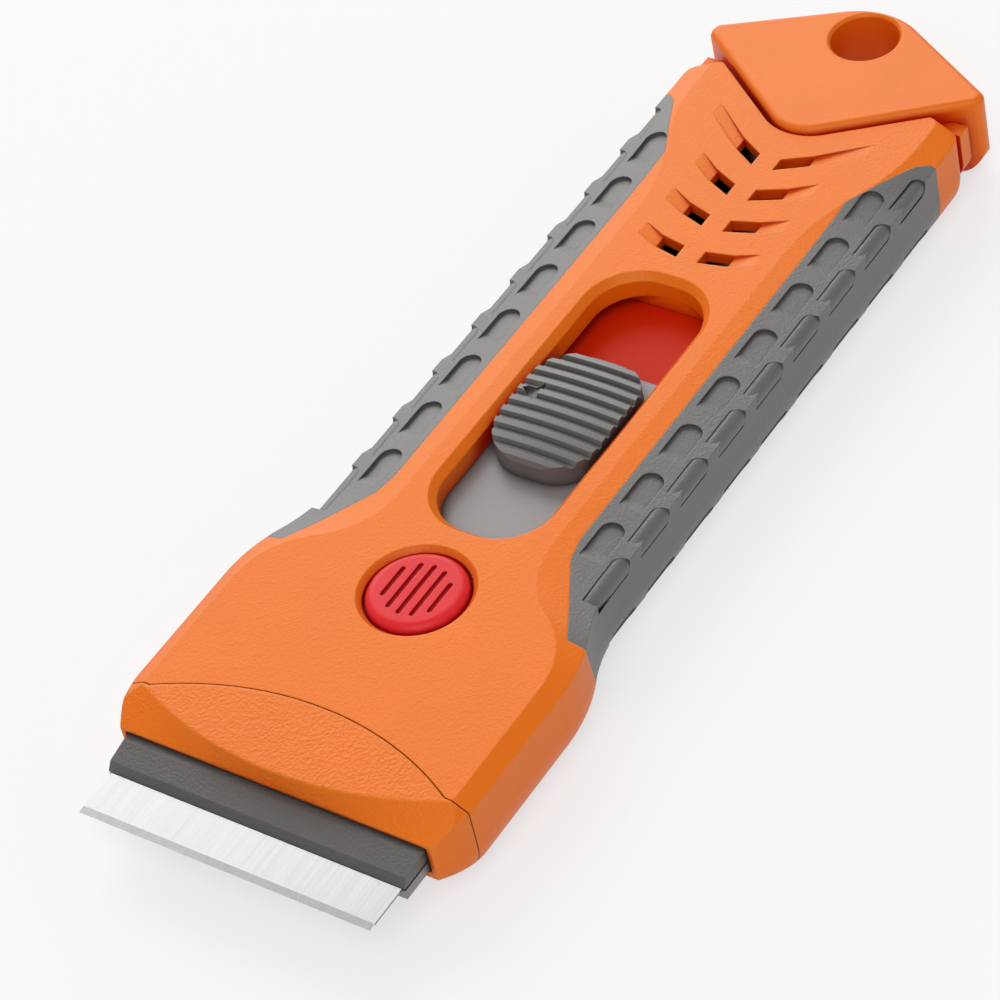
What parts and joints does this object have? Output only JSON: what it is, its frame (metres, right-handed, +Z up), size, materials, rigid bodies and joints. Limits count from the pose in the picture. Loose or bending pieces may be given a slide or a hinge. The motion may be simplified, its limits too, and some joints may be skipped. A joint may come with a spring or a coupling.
{
  "type": "ceramic hob scraper",
  "caption": "Hand scraper for ceramic hobs with a sliding retractable blade, a push button lock, soft side grips, a ribbed thumb slider and a spare blade drawer with a hanging hole.",
  "frame": {"origin": "middle of the length from tail to working cutting edge, in the middle plane, on the surface the scraper rests on", "axes": "+X along the tool towards the blade, +Y to the left of a user who looks along +X, +Z up out of the side with the button and slider"},
  "size_m": [0.147, 0.0456, 0.0121],
  "materials": {
    "orange_housing": "finely textured",
    "soft_grip": "matt, soft touch",
    "grey_mechanism": "finely textured",
    "red_button": "satin",
    "blade_steel": "polished",
    "spring_steel": "rolled",
    "screw_steel": "zinc plated"
  },
  "bodies": {
    "housing": {"top_shell": "orange_housing", "bottom_cover": "orange_housing", "nose_cover": "orange_housing", "grip_left": "soft_grip", "grip_right": "soft_grip", "shell_screws": "screw_steel", "lock_spring": "spring_steel", "spring_screw": "screw_steel"},
    "carriage": {"blade_carriage": "grey_mechanism", "blade_clamp": "grey_mechanism", "blade": "blade_steel", "slider_knob": "grey_mechanism", "knob_screws": "screw_steel"},
    "button": {"release_button": "red_button"},
    "drawer": {"tail_cap": "orange_housing", "blade_tray": "orange_housing", "spare_blade_1": "blade_steel", "spare_blade_2": "blade_steel", "spare_blade_3": "blade_steel", "spare_blade_4": "blade_steel", "spare_blade_5": "blade_steel"}
  },
  "joints": [
    {"name": "carriage_slide", "type": "slide", "parent": "housing", "child": "carriage", "axis": [1, 0, 0], "range_m": [-0.0115, 0.006], "deforming": ["lock_spring"]},
    {"name": "button_press", "type": "slide", "parent": "housing", "child": "button", "axis": [0, 0, -1], "range_m": [0, 0.0011], "stiffness_N_per_m": 1500, "springref_m": -0.0008, "deforming": ["lock_spring"]},
    {"name": "drawer_slide", "type": "slide", "parent": "housing", "child": "drawer", "axis": [-1, 0, 0], "range_m": [0, 0.034]}
  ]
}
